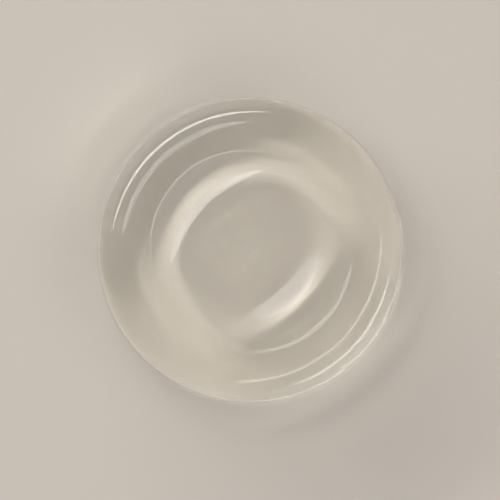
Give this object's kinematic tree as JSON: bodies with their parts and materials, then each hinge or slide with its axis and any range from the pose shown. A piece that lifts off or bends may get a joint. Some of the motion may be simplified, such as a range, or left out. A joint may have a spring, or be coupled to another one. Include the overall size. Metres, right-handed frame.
{
  "type": "cabinet door bumper",
  "caption": "Clear round self-adhesive cushion with a shallow recess in its top, which stops a cabinet door or drawer softly.",
  "frame": {"origin": "centre of the flat adhesive face, which is the lowest level of the part", "axes": "+Z is the axis of revolution, from the adhesive face to the face that the door meets"},
  "size_m": [0.0126, 0.0126, 0.0035],
  "materials": {
    "clear_polyurethane": "gloss"
  },
  "bodies": {
    "root": {"bumper": "clear_polyurethane"}
  },
  "joints": []
}
